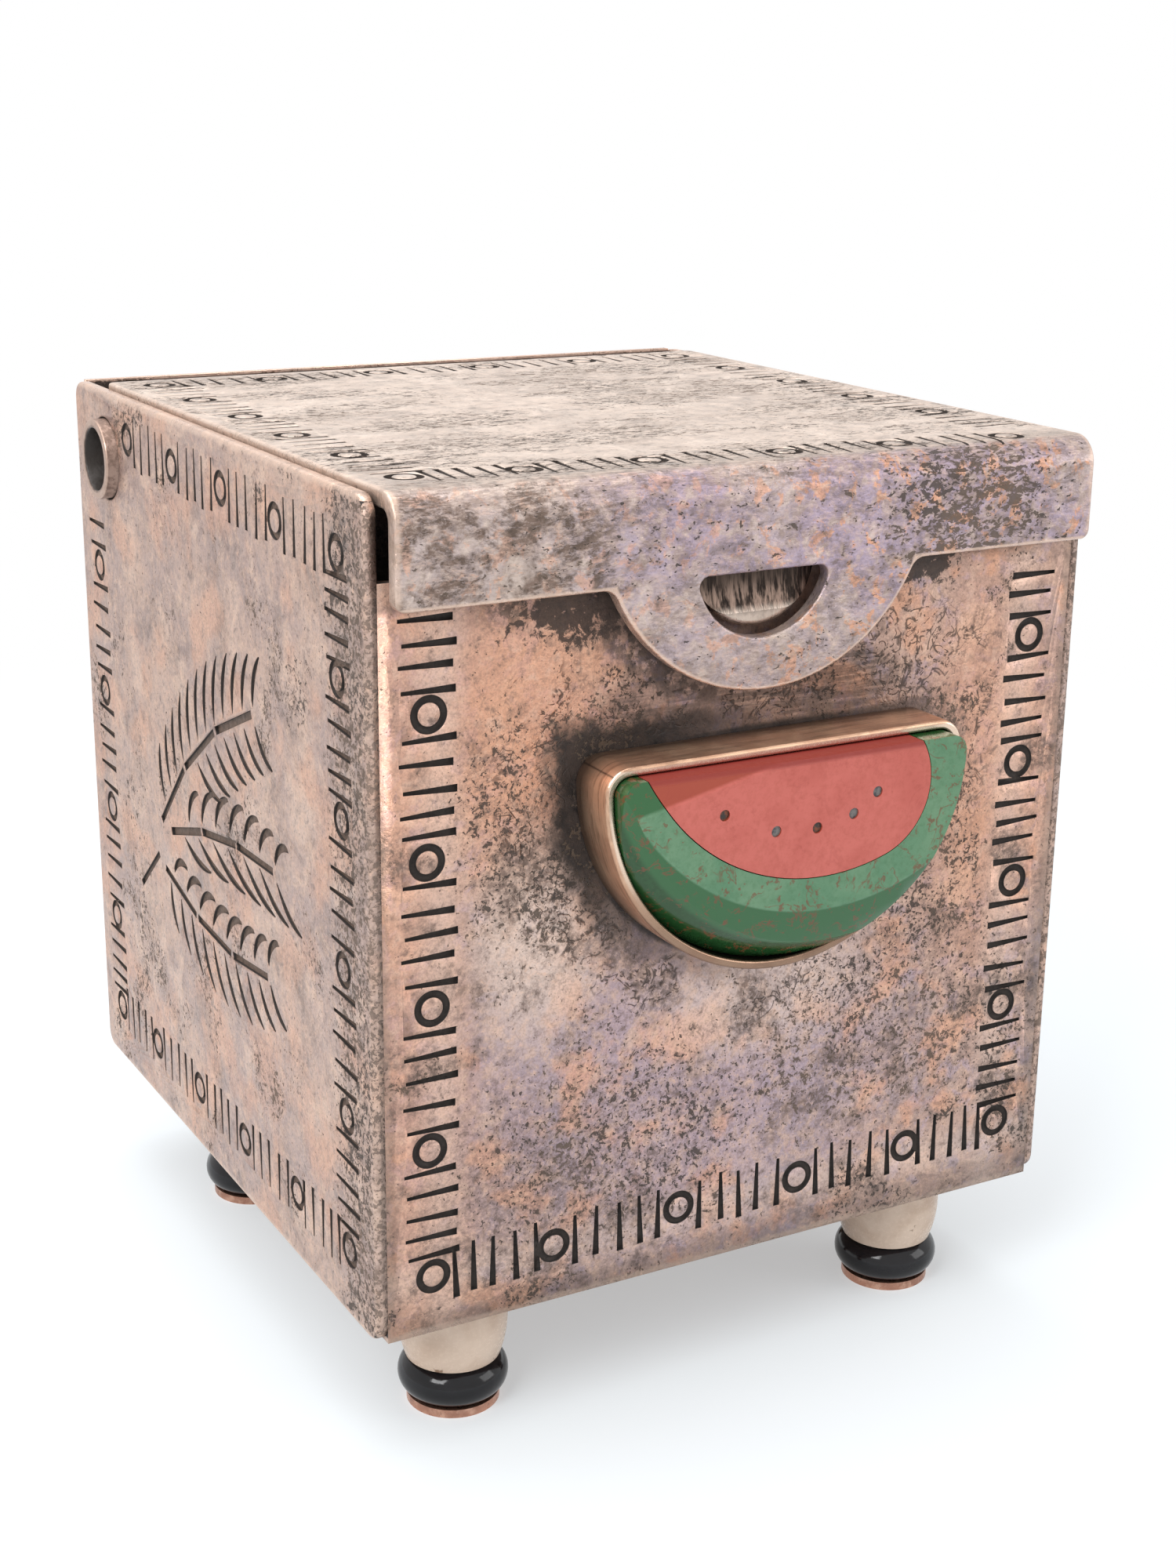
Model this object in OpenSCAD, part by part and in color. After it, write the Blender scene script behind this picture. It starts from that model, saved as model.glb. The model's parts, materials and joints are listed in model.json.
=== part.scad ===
// Small square box in stamped sheet metal, on four bead feet. The lid is one sheet folded down over
// the front, where a pierced tab drops over a half-moon catch. It turns on a tube through the side
// walls. A stone inlay in the form of a melon slice stands in a bezel on the front.
// The origin is on the floor under the middle of the whole box; the stone faces -Y.

/* [Case] */
// Width over the side walls
case_w = 48.6; // [42:0.1:56]
// Depth from the front face to the back face
case_d = 49.8; // [44:0.1:56]
// Height of the side and back walls
case_h = 50; // [46:0.1:56]
// Thickness of the wall sheet
wall_t = 0.7; // [0.5:0.05:1]
// Rounding of the side walls' four corners
wall_corner_r = 1.2; // [0.5:0.1:2]
// How far the front panel's top edge lies below the side walls' top
front_drop = 4.7; // [3:0.1:6]

/* [Lid] */
// Thickness of the lid sheet
lid_t = 1; // [0.7:0.05:1.2]
// How far the lid's top stands above the side walls
lid_rise = 0.3; // [0.1:0.05:1]
// Gap between the lid and each side wall, inside
lid_side_gap = 0.25; // [0.15:0.05:0.5]
// Gap between the lid's rear edge and the back wall
lid_rear_gap = 3.6; // [3.4:0.1:4.2]
// Gap between the folded lip and the front panel
lip_gap = 0.9; // [0.85:0.05:1.4]
// Height of the folded lip, from the lid's top
lip_h = 6.3; // [5.5:0.1:8]
// Outer radius of the fold
fold_r = 1.7; // [1.3:0.1:2.2]
// Rounding of the lip's lower corners and the lid's rear corners
lid_corner_r = 0.6; // [0.3:0.1:1.5]

/* [Tab and catch] */
// Radius of the round tab
tab_r = 11.1; // [9:0.1:12]
// Depth of the tab's centre below the lid's top
tab_drop = 2; // [1:0.1:3]
// Radius of the small blend between the tab and the lip
tab_blend_r = 1; // [0.5:0.1:1.5]
// Radius of the half-moon window's arc
window_r = 4.56; // [4.3:0.01:5]
// Height of the half-moon window
window_h = 3.85; // [3.7:0.05:4.2]
// Depth of the window's straight top edge below the lid's top
window_drop = 6.1; // [5.6:0.1:6.4]
// How far the window sits to the left of the middle
window_shift = 0.35; // [0:0.05:0.8]
// Rounding of the window's two corners
window_corner_r = 0.6; // [0.3:0.1:0.8]
// Gap between the catch and the window's arc, seen from the front
catch_gap = 0.35; // [0.2:0.05:0.6]
// How far the catch's lower lip stands off the panel
catch_proud = 0.75; // [0.5:0.05:0.8]
// Thickness of the catch at its filed upper edge
catch_thin = 0.3; // [0.2:0.05:0.4]

/* [Hinge] */
// Outside diameter of the hinge tube
tube_d = 5.4; // [4.6:0.1:5.6]
// Wall of the hinge tube
tube_t = 0.6; // [0.4:0.05:0.9]
// Distance from the tube's axis to the inside of the back wall
tube_back = 5.6; // [5.4:0.1:6.5]
// Distance from the tube's axis down from the side walls' top
tube_drop = 4.55; // [4.5:0.05:5.5]
// How far the tube stands out of each side wall
tube_stub = 0.8; // [0.3:0.1:1.5]
// Running clearance between the tube and the lid's sleeve, on the radius
sleeve_gap = 0.08; // [0.03:0.01:0.1]
// Wall of the lid's sleeve
sleeve_t = 0.8; // [0.5:0.05:1]
// Width of the solder saddle between the sleeve and the lid
saddle_w = 3; // [2:0.1:4]

/* [Inlay] */
// Radius of the stone's round edge
stone_r = 11.7; // [9:0.1:12]
// Height of the stone's straight top edge above the centre of its arc
stone_rise = 0.9; // [0:0.1:2]
// Rounding of the stone's two top corners
stone_corner_r = 1; // [0.6:0.1:1.5]
// Height of the stone's flat face above the front panel
stone_h = 4.9; // [4:0.1:6]
// How far the inlay sits to the right of the middle
inlay_shift = 0.75; // [0:0.05:1.5]
// Clear height between the tab and the bezel
inlay_below_tab = 2.9; // [1.5:0.1:5]
// Thickness of the bezel strip
bezel_t = 0.55; // [0.4:0.05:0.7]
// Height of the bezel strip
bezel_h = 3.6; // [2.5:0.1:3.8]
// Glue line round each piece of stone
glue_line = 0.06; // [0.03:0.01:0.1]
// Width of green rind left between the flesh and the stone's edge, at the bottom
rind_w = 5.25; // [3:0.05:6]
// Diameter of a seed
seed_d = 0.68; // [0.4:0.02:1.1]
// Depth of a seed's hole
seed_deep = 1.2; // [0.6:0.1:2]

/* [Feet] */
// Distance from a front foot's centre to the outside of the side wall
foot_in_x = 7.65; // [5:0.05:10]
// Distance from a front foot's centre to the front face
foot_in_front = 5.8; // [4:0.1:10]
// Distance from a rear foot's centre to the outside of the side wall
foot_in_back_x = 6.8; // [5:0.05:10]
// Distance from a rear foot's centre to the back face
foot_in_back = 12; // [4:0.1:14]
// Diameter of the white bead
white_d = 6.9; // [5:0.1:7.5]
// Length of the white bead
white_h = 5.3; // [3:0.1:6]
// Diameter of the black bead
black_d = 6.95; // [5:0.05:7.5]
// Length of the black bead
black_h = 2.65; // [2:0.05:4.5]
// Diameter of the washer under the beads
washer_d = 5.85; // [4:0.05:6.4]
// Thickness of the washer
washer_t = 0.55; // [0.4:0.05:1]
// Diameter of the pin through the beads
pin_d = 1.3; // [0.9:0.05:1.6]
// Clearance between the pin and each bead, on the radius
bead_gap = 0.05; // [0.03:0.01:0.15]

/* [Stamped marks] */
// Depth of every struck mark
mark_deep = 0.26; // [0.1:0.01:0.3]
// Outside diameter of a ring mark
ring_d = 2.2; // [1.6:0.1:2.6]
// Width of a ring mark's line
ring_line = 0.42; // [0.3:0.02:0.6]
// Length of a bar mark
bar_l = 3.3; // [2.4:0.1:3.6]
// Width of a bar mark at its thick end
bar_w = 0.46; // [0.3:0.02:0.6]
// Number of bars struck between two rings
bars = 5; // [3:1:6]
// Distance aimed at from ring to ring
ring_pitch = 8.4; // [7:0.1:10]
// Distance from a wall's edge to the middle of its band of marks
band_in = 3.6; // [3:0.1:5]
// How far a mark strays from its place, because it is struck by hand
stray = 0.12; // [0:0.01:0.2]

/* [Hidden] */
FEET = ["front_left", "front_right", "back_left", "back_right"];
SEEDS = 5;
$fn = 64;
// Overshoot of a cutting shape past the face it opens
over = 0.5;

foot_h = white_h + black_h + washer_t;
inner_w = case_w - 2 * wall_t;
inner_d = case_d - 2 * wall_t;
front_h = case_h - front_drop;
stands_out = max(stone_h, lip_gap + lid_t);
case_y = stands_out / 2;

lid_w = inner_w - 2 * lid_side_gap;
lid_top = case_h + lid_rise;
lid_under = lid_top - lid_t;
lid_rear = case_d / 2 - wall_t - lid_rear_gap;
lip_face = lip_gap + lid_t;
lip_foot = lid_top - lip_h;
tab_z = lid_top - tab_drop;
tab_foot = tab_z - tab_r;
window_top = lid_top - window_drop;
// Height of the window's straight edge above the centre of its arc
window_rise = window_h - window_r;
window_z = window_top - window_rise;

tube_y = case_d / 2 - wall_t - tube_back;
tube_z = case_h - tube_drop;
sleeve_r = tube_d / 2 + sleeve_gap + sleeve_t;

bezel_r = stone_r + glue_line + bezel_t;
stone_z = tab_foot - inlay_below_tab - bezel_t - glue_line - stone_rise;

// The flesh is bounded by a wide arc at the left and bottom that runs into a tight one at the right.
flesh_r = 13.5;
flesh_end_r = 4.5;
flesh_turn = 72;
flesh_x = 1.85;
flesh_y = flesh_r - stone_r + rind_w;
flesh_end_x = flesh_x + (flesh_r - flesh_end_r) * cos(flesh_turn);
flesh_end_y = flesh_y - (flesh_r - flesh_end_r) * sin(flesh_turn);
// Seeds as the places of a loose row, measured from the centre of the stone's arc.
seed_at = [[-5.3, -1.7], [-1.75, -3.2], [1.1, -3.4], [3.65, -2.9], [5.3, -1.8]];

// Each ground facet is a cone: centre of its crease, crease radius, crease height, fall per millimetre.
facets = [
    [2.25, 7.25, 15.7, stone_h, 0.25],
    [2.7, 4.7, 15.45, stone_h - 0.6, 1]
];

foot_x = case_w / 2 - foot_in_x;
foot_back_x = case_w / 2 - foot_in_back_x;
foot_at = [
    [-foot_x, -case_d / 2 + foot_in_front],
    [foot_x, -case_d / 2 + foot_in_front],
    [-foot_back_x, case_d / 2 - foot_in_back],
    [foot_back_x, case_d / 2 - foot_in_back]
];

// Places of the rings along a row, as shares of its length, because they are spaced by eye.
FRONT_LEFT = [0, 0.237, 0.5, 0.757, 1];
FRONT_RIGHT = [0, 0.251, 0.515, 0.757, 1];
FRONT_FOOT = [0, 0.196, 0.408, 0.616, 0.821, 1];
SIDE_FRONT = [0, 0.171, 0.364, 0.573, 0.79, 1];
SIDE_TOP = [0, 0.248, 0.504, 0.755, 1];
SIDE_FOOT = [0, 0.193, 0.405, 0.602, 0.807, 1];
SIDE_REAR = [0, 0.21, 0.47, 0.73, 1];
LID_FRONT = [0, 0.177, 0.378, 0.595, 0.79, 1];

// Case frame: the middle of the case at the foot of its walls.
module in_case() {
    translate([0, case_y, foot_h])
        children();
}

// A face frame has X to the right, Y up and Z out of the face, seen from outside.
module on_front() {
    translate([0, -case_d / 2, 0])
        rotate([90, 0, 0])
            children();
}

module on_back() {
    translate([0, case_d / 2, 0])
        rotate([90, 0, 180])
            children();
}

module on_left() {
    translate([-case_w / 2, 0, 0])
        rotate([90, 0, -90])
            children();
}

module on_right() {
    translate([case_w / 2, 0, 0])
        rotate([90, 0, 90])
            children();
}

// An outline drawn as (y, z), extruded along X about the middle.
module along_x(length) {
    rotate([90, 0, 90])
        linear_extrude(length, center = true)
            children();
}

module rounded_rect(w, h, r) {
    square([w - 2 * r, h], center = true);
    square([w, h - 2 * r], center = true);
    for (sx = [-1, 1], sy = [-1, 1])
        translate([sx * (w / 2 - r), sy * (h / 2 - r)])
            circle(r);
}

// A round tile cut off straight at the top, with its two corners rounded.
// r is the arc's radius, rise the straight edge's height above the arc's centre.
function corner_x(r, rise, corner) = sqrt(pow(r - corner, 2) - pow(rise - corner, 2));
function corner_turn(r, rise, corner) = atan2(rise - corner, corner_x(r, rise, corner));

module half_moon(r, rise, corner) {
    cx = corner_x(r, rise, corner);
    cy = rise - corner;
    turn = corner_turn(r, rise, corner);
    reach = 3 * corner;
    difference() {
        intersection() {
            circle(r, $fn = 128);
            translate([-r, rise - 2 * r])
                square(2 * r);
        }
        for (side = [0, 1])
            mirror([side, 0])
                translate([cx, cy])
                    difference() {
                        polygon([[0, 0], [0, reach], [reach, reach], reach * [cos(turn), sin(turn)]]);
                        circle(corner);
                    }
    }
}

// Struck marks, drawn flat and sunk into the surface at z = 0.
module strike() {
    translate([0, 0, -mark_deep])
        linear_extrude(mark_deep + over)
            children();
}

module ring_mark() {
    difference() {
        circle(d = ring_d, $fn = 32);
        circle(d = ring_d - 2 * ring_line, $fn = 32);
    }
}

// Thick at +X, tapering to a blunt point at -X.
module bar_mark() {
    thin = bar_w / 2;
    polygon([
        [-bar_l / 2, -thin / 2],
        [bar_l / 2, -bar_w / 2],
        [bar_l / 2, bar_w / 2],
        [-bar_l / 2, thin / 2]
    ]);
}

function strayed(k) = stray * [sin(97 * k), cos(151 * k)];

function even_places(gaps) = [for (i = [0:gaps]) i / gaps];

// A band of marks from one corner towards the next: a ring, a group of bars, a ring and so on.
// turn points the bars' thick ends, places are the rings' shares of the way, and tail adds bars past
// the end.
module mark_row(from, to, turn = 90, places = [], first = true, last = true, tail = 0) {
    run = norm(to - from);
    at = run * (len(places) > 0 ? places : even_places(max(1, round(run / ring_pitch))));
    gaps = len(at) - 1;
    end_pitch = (at[gaps] - at[gaps - 1]) / (bars + 1);
    translate(from)
        rotate(atan2(to.y - from.y, to.x - from.x)) {
            for (i = [first ? 0 : 1 : last ? gaps : gaps - 1])
                translate([at[i], 0] + strayed(i + gaps))
                    ring_mark();
            for (i = [0:gaps - 1], k = [1:bars])
                translate([at[i] + k * (at[i + 1] - at[i]) / (bars + 1), 0] + strayed(i * bars + k))
                    rotate(turn + 15 * strayed(k + i).x)
                        bar_mark();
            if (tail > 0)
                for (k = [1:tail])
                    translate([run + k * end_pitch, 0] + strayed(k + 3))
                        rotate(turn)
                            bar_mark();
        }
}

// A thin crescent with blunt ends, chord along X and bowed to +Y.
module crescent(chord, bow, line) {
    blunt = 0.35;
    full = chord + 2 * blunt;
    outer = bow + line / 2;
    inner = bow - line / 2;
    outer_r = (full * full / 4 + outer * outer) / (2 * outer);
    inner_r = (full * full / 4 + inner * inner) / (2 * inner);
    intersection() {
        difference() {
            translate([0, outer - outer_r])
                circle(outer_r, $fn = 180);
            translate([0, inner - inner_r])
                circle(inner_r, $fn = 180);
        }
        translate([-chord / 2, 0])
            square([chord, chord]);
    }
}

// One frond of the sprig, from its root along +X: a bowed rib of three straight blows with leaflets on
// both sides. upper and lower give a side's leaflets as
// [place of the first along the rib, count, length, turn from the rib, bow].
module frond(length, bow, upper, lower) {
    r = (length * length / 4 + bow * bow) / (2 * bow);
    half = asin(length / 2 / r);
    blows = 3;
    translate([length / 2, 0]) {
        for (i = [0:blows - 1])
            on_rib(r, bow, half * ((2 * i + 1) / blows - 1))
                square([length / blows - 0.2, 0.55], center = true);
        for (side = [-1, 1])
            let (leaf = side > 0 ? upper : lower)
                for (i = [0:leaf[1] - 1])
                    let (
                        share = leaf[0] + (1 - leaf[0]) * i / (leaf[1] - 1),
                        l = leaf[2] * (0.75 + 0.25 * sin(180 * share))
                    )
                        on_rib(r, bow, half * (2 * share - 1))
                            rotate(side * leaf[3])
                                translate([l / 2 + 0.55, 0])
                                    mirror([0, side < 0 ? 1 : 0])
                                        crescent(l, leaf[4], 0.56);
    }
}

// A place on the rib's arc, given by its turn from the middle of the rib.
module on_rib(r, bow, turn) {
    translate([r * sin(turn), r * cos(turn) - r + bow])
        rotate(-turn)
            children();
}

// A plain sprig with three fronds on a short bare stem, rising to the left of the stem's foot.
module sprig() {
    translate([15, 15.9])
        rotate(140)
            translate([2.7, 0])
                square([5.4, 0.5], center = true);
    translate([10, 21.8])
        rotate(146)
            mirror([0, 1])
                frond(21.5, 1.6, [0.08, 12, 4.9, 52, 0.6], [0.45, 7, 4.6, 55, 0.6]);
    translate([8.2, 21.7])
        rotate(171)
            mirror([0, 1])
                frond(19, 0.9, [0.2, 7, 3.6, 36, 1], [0.12, 7, 6, 28, 0.6]);
    translate([9.8, 18.9])
        rotate(184)
            frond(19, 1.3, [0.06, 10, 4.4, 52, 0.6], [0.08, 8, 3.6, 36, 1]);
}

module side_plate() {
    translate([0, case_h / 2, -wall_t])
        linear_extrude(wall_t)
            rounded_rect(case_d, case_h, wall_corner_r);
}

// Marks of a side wall in its face frame. front is -1 where the front edge lies at -X, else 1.
module side_marks(front) {
    near = front * (case_d / 2 - band_in - 0.3);
    far = -front * (case_d / 2 - band_in);
    top = case_h - band_in;
    foot = band_in + 0.7;
    stop = -front * (tube_y - tube_d / 2 - 2.1);
    tube_clear = tube_z - 8;
    mark_row([near, top], [near, foot], turn = 90 * front, places = SIDE_FRONT);
    mark_row([near, top], [stop, top + 0.9], turn = 90 * front, places = SIDE_TOP, first = false);
    mark_row([near, foot], [far, foot], turn = -90 * front, places = SIDE_FOOT, first = false);
    mark_row([far, foot], [far, tube_clear], turn = -90 * front, places = SIDE_REAR, first = false, tail = 2);
}

module tube_hole() {
    translate([0, tube_y, tube_z])
        rotate([0, 90, 0])
            cylinder(d = tube_d, h = 2 * case_w, center = true);
}

module left_wall() {
    color([0.72, 0.6, 0.55])
        in_case()
            difference() {
                on_left()
                    side_plate();
                tube_hole();
                on_left()
                    strike() {
                        side_marks(1);
                        mirror([1, 0])
                            sprig();
                    }
            }
}

module right_wall() {
    color([0.72, 0.6, 0.55])
        in_case()
            difference() {
                on_right()
                    side_plate();
                tube_hole();
                on_right()
                    strike()
                        side_marks(-1);
            }
}

module front_panel() {
    side = inner_w / 2 + wall_t - band_in;
    foot_left = band_in;
    foot_right = band_in + 0.8;
    last_ring = front_h - 7.6;
    color([0.74, 0.62, 0.56])
        in_case()
            on_front()
                difference() {
                    translate([-inner_w / 2, 0, -wall_t])
                        cube([inner_w, front_h, wall_t]);
                    strike() {
                        mark_row([-side, foot_left], [-side, last_ring], turn = -90, places = FRONT_LEFT,
                            tail = 4);
                        mark_row([side, foot_right], [side, last_ring], turn = 90, places = FRONT_RIGHT,
                            tail = 3);
                        mark_row([-side, foot_left], [side, foot_right], turn = -90, places = FRONT_FOOT,
                            first = false, last = false);
                    }
                }
}

module back_wall() {
    side = inner_w / 2 + wall_t - band_in;
    top = case_h - band_in;
    foot = band_in + 0.4;
    color([0.7, 0.58, 0.53])
        in_case()
            on_back()
                difference() {
                    translate([-inner_w / 2, 0, -wall_t])
                        cube([inner_w, case_h, wall_t]);
                    strike() {
                        mark_row([-side, foot], [-side, top], turn = -90);
                        mark_row([side, foot], [side, top], turn = 90);
                        mark_row([-side, foot], [side, foot], turn = -90, first = false, last = false);
                        mark_row([-side, top], [side, top], turn = 90, first = false, last = false);
                    }
                }
}

module base_plate() {
    color([0.68, 0.56, 0.5])
        in_case()
            difference() {
                translate([-inner_w / 2, -inner_d / 2, 0])
                    cube([inner_w, inner_d, wall_t]);
                for (at = foot_at)
                    translate([at.x, at.y, -over])
                        cylinder(d = pin_d, h = wall_t + 2 * over);
            }
}

module hinge_tube() {
    length = case_w + 2 * tube_stub;
    color([0.76, 0.66, 0.6])
        in_case()
            translate([0, tube_y, tube_z])
                rotate([0, 90, 0])
                    difference() {
                        cylinder(d = tube_d, h = length, center = true);
                        cylinder(d = tube_d - 2 * tube_t, h = length + 2 * over, center = true);
                    }
}

// A half-moon button with a rounded edge, filed hollow towards its upper edge.
module catch() {
    r = window_r - catch_gap;
    rise = window_rise + catch_gap / 2;
    height = r + rise;
    edge_r = 0.4;
    color([0.62, 0.55, 0.5])
        in_case()
            on_front()
                translate([-window_shift + catch_gap / 2, window_z, 0])
                    intersection() {
                        rotate_extrude() {
                            square([r - edge_r, catch_proud]);
                            square([r, catch_proud - edge_r]);
                            translate([r - edge_r, catch_proud - edge_r])
                                circle(edge_r);
                        }
                        rotate([90, 0, 90])
                            linear_extrude(2 * r, center = true)
                                catch_profile(rise, height);
                    }
}

// Side view of the catch: a flat seat, a hollow filed slope and the lip at the bottom.
module catch_profile(rise, height) {
    slope_l = 0.75 * height;
    fall = catch_proud - catch_thin;
    hollow_r = (slope_l * slope_l + fall * fall) / (2 * fall);
    difference() {
        translate([rise - height, 0])
            square([height, catch_proud]);
        translate([rise, catch_thin + hollow_r])
            circle(hollow_r, $fn = 180);
    }
}

module in_inlay() {
    in_case()
        on_front()
            translate([inlay_shift, stone_z, 0])
                children();
}

// A strip of sheet bent round the stone and soldered to the panel on its edge.
module bezel() {
    margin = glue_line + bezel_t;
    color([0.86, 0.74, 0.66])
        in_inlay()
            linear_extrude(bezel_h)
                difference() {
                    half_moon(bezel_r, stone_rise + margin, stone_corner_r + margin);
                    half_moon(stone_r + glue_line, stone_rise + glue_line, stone_corner_r + glue_line);
                }
}

// The whole stone before it is parted: the slab, its ground facets and a low facet at the top left.
module stone_body() {
    intersection() {
        linear_extrude(stone_h)
            half_moon(stone_r, stone_rise, stone_corner_r);
        facet_cone(facets[0]);
        facet_cone(facets[1]);
        translate([-9.8, stone_rise - 1.9, stone_h])
            rotate(12)
                rotate([-9, 0, 0])
                    translate([-stone_r, -2 * stone_r, -2 * stone_h])
                        cube([4 * stone_r, 4 * stone_r, 2 * stone_h]);
    }
}

module facet_cone(f) {
    translate([f[0], f[1], 0])
        cylinder(r1 = f[2] + f[3] / f[4], r2 = f[2] - (stone_h - f[3]) / f[4], h = stone_h, $fn = 180);
}

module flesh_outline(margin) {
    intersection() {
        translate([flesh_x, flesh_y])
            circle(flesh_r + margin, $fn = 180);
        translate([flesh_x, flesh_y])
            rotate(-flesh_turn)
                translate([0, -3 * flesh_r])
                    square([3 * flesh_r, 3 * flesh_r]);
    }
    translate([flesh_end_x, flesh_end_y])
        circle(flesh_end_r + margin, $fn = 128);
}

module rind() {
    color([0.33, 0.5, 0.38])
        in_inlay()
            difference() {
                stone_body();
                translate([0, 0, -over])
                    linear_extrude(stone_h + 2 * over)
                        flesh_outline(glue_line);
            }
}

module flesh() {
    color([0.8, 0.38, 0.33])
        in_inlay()
            difference() {
                intersection() {
                    stone_body();
                    linear_extrude(stone_h)
                        flesh_outline(0);
                }
                for (at = seed_at)
                    translate([at.x, at.y, stone_h - seed_deep])
                        cylinder(d = seed_d, h = seed_deep + over, $fn = 32);
            }
}

module seed(i) {
    color([0.12, 0.11, 0.1])
        in_inlay()
            translate([seed_at[i].x, seed_at[i].y, stone_h - seed_deep])
                cylinder(d = seed_d, h = seed_deep - 2 * glue_line, $fn = 32);
}

// Everything behind a lip face and below a top, with the corner between them rounded, as (y, z).
module under_fold(face, top, r) {
    depth = lid_rear - face;
    height = top - tab_foot + over;
    translate([face + r, top - height])
        square([depth - r, height]);
    translate([face, top - height])
        square([depth, height - r]);
    translate([face + r, top - r])
        circle(r);
}

// Side view of the folded sheet: the top, the fold and the lip down to the tab's foot.
module lid_section() {
    face = -case_d / 2 - lip_face;
    difference() {
        under_fold(face, lid_top, fold_r);
        translate([0, -over])
            under_fold(face + lid_t, lid_under + over, fold_r - lid_t);
    }
}

// Front view of the lid: the lip with its round tab.
module lid_front_outline() {
    blend_y = lip_foot - tab_blend_r;
    blend_x = sqrt(pow(tab_r + tab_blend_r, 2) - pow(tab_z - blend_y, 2));
    upper_h = 4 * lid_corner_r + lip_h;
    translate([0, lip_foot + upper_h / 2])
        rounded_rect(lid_w, upper_h, lid_corner_r);
    translate([0, tab_z])
        circle(tab_r, $fn = 128);
    for (side = [0, 1])
        mirror([side, 0])
            difference() {
                polygon([[0, tab_z], [blend_x, blend_y], [blend_x, lip_foot + over]]);
                translate([blend_x, blend_y])
                    circle(tab_blend_r);
            }
}

module lid_plan_outline() {
    length = 2 * case_d;
    translate([0, lid_rear - length / 2])
        rounded_rect(lid_w, length, lid_corner_r);
}

module lid_window() {
    on_front()
        translate([-window_shift, window_z, lip_gap - over])
            linear_extrude(lid_t + 2 * over)
                half_moon(window_r, window_rise, window_corner_r);
}

// The lid's band of marks runs round all four sides of its top. The front row drifts towards the fold.
module lid_marks() {
    side = lid_w / 2 - band_in + 0.7;
    front = -case_d / 2 - lip_face + fold_r + bar_l / 2 + 1.5;
    rear = lid_rear - band_in + 1;
    mark_row([-side, front], [-side, rear], turn = -90);
    mark_row([side, front], [side, rear], turn = 90, first = false);
    mark_row([-side, front], [side - 1.9, front - 2.3], turn = 90, places = LID_FRONT, first = false);
    mark_row([-side, rear], [side, rear], turn = -90, first = false, last = false);
}

module lid() {
    color([0.78, 0.68, 0.62])
        in_case()
            difference() {
                intersection() {
                    along_x(lid_w)
                        lid_section();
                    on_front()
                        linear_extrude(4 * case_d, center = true)
                            lid_front_outline();
                    linear_extrude(2 * case_h)
                        lid_plan_outline();
                }
                lid_window();
                translate([0, 0, lid_top])
                    strike()
                        lid_marks();
            }
}

// The sleeve that the tube turns in, soldered under the lid along a flat saddle.
module hinge_sleeve() {
    color([0.7, 0.6, 0.54])
        in_case()
            translate([0, tube_y, tube_z])
                along_x(lid_w - 2 * lid_t)
                    difference() {
                        union() {
                            circle(sleeve_r);
                            translate([-saddle_w / 2, 0])
                                square([saddle_w, lid_under - tube_z]);
                        }
                        circle(tube_d / 2 + sleeve_gap);
                    }
}

module at_foot(i, z) {
    translate([foot_at[i].x, foot_at[i].y + case_y, z])
        children();
}

// A bead turned about its hole: its side is an arc of radius side_r.
module bead(d, h, side_r) {
    rotate_extrude()
        intersection() {
            translate([d / 2 - side_r, h / 2])
                circle(side_r);
            translate([pin_d / 2 + bead_gap, 0])
                square([d, h]);
        }
}

module foot_pin(i) {
    color([0.7, 0.58, 0.52])
        at_foot(i, 0)
            cylinder(d = pin_d, h = foot_h + wall_t);
}

module white_bead(i) {
    color([0.93, 0.9, 0.84])
        at_foot(i, foot_h - white_h)
            bead(white_d, white_h, 1.5 * white_h);
}

module black_bead(i) {
    color([0.07, 0.07, 0.08])
        at_foot(i, washer_t)
            bead(black_d, black_h, 0.515 * black_h);
}

module foot_washer(i) {
    color([0.78, 0.62, 0.55])
        at_foot(i, 0)
            difference() {
                cylinder(d = washer_d, h = washer_t);
                translate([0, 0, -over])
                    cylinder(d = pin_d, h = washer_t + 2 * over);
            }
}

front_panel();
back_wall();
left_wall();
right_wall();
base_plate();
hinge_tube();
catch();
bezel();
rind();
flesh();
lid();
hinge_sleeve();
for (i = [1:SEEDS])
    seed(i - 1);
for (i = [0:3]) {
    foot_pin(i);
    white_bead(i);
    black_bead(i);
    foot_washer(i);
}
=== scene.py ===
"""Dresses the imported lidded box: soft sheet edges, procedural patina, polished stones, studio light.

Lengths in the code are millimetres, in the frame of the part, and turn into metres through MM.
"""
import json
import math

import bmesh
import bpy
from mathutils import Matrix, Vector

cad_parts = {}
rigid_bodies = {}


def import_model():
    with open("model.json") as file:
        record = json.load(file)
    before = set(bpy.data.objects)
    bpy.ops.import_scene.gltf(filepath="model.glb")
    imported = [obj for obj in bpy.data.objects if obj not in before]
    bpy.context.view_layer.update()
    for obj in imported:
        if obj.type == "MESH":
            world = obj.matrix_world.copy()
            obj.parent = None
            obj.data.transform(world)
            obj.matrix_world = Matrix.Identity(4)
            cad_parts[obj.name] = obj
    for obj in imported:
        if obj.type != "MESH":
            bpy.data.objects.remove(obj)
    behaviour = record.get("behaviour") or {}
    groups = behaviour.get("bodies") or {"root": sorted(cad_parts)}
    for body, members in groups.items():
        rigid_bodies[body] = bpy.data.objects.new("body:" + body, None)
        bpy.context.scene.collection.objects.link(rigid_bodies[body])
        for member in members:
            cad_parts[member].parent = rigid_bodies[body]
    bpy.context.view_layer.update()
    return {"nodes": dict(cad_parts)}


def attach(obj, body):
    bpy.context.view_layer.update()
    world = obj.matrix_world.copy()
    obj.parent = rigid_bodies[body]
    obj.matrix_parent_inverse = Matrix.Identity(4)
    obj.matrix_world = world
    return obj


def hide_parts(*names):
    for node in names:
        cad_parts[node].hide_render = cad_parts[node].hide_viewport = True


MM = 0.001
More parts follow.
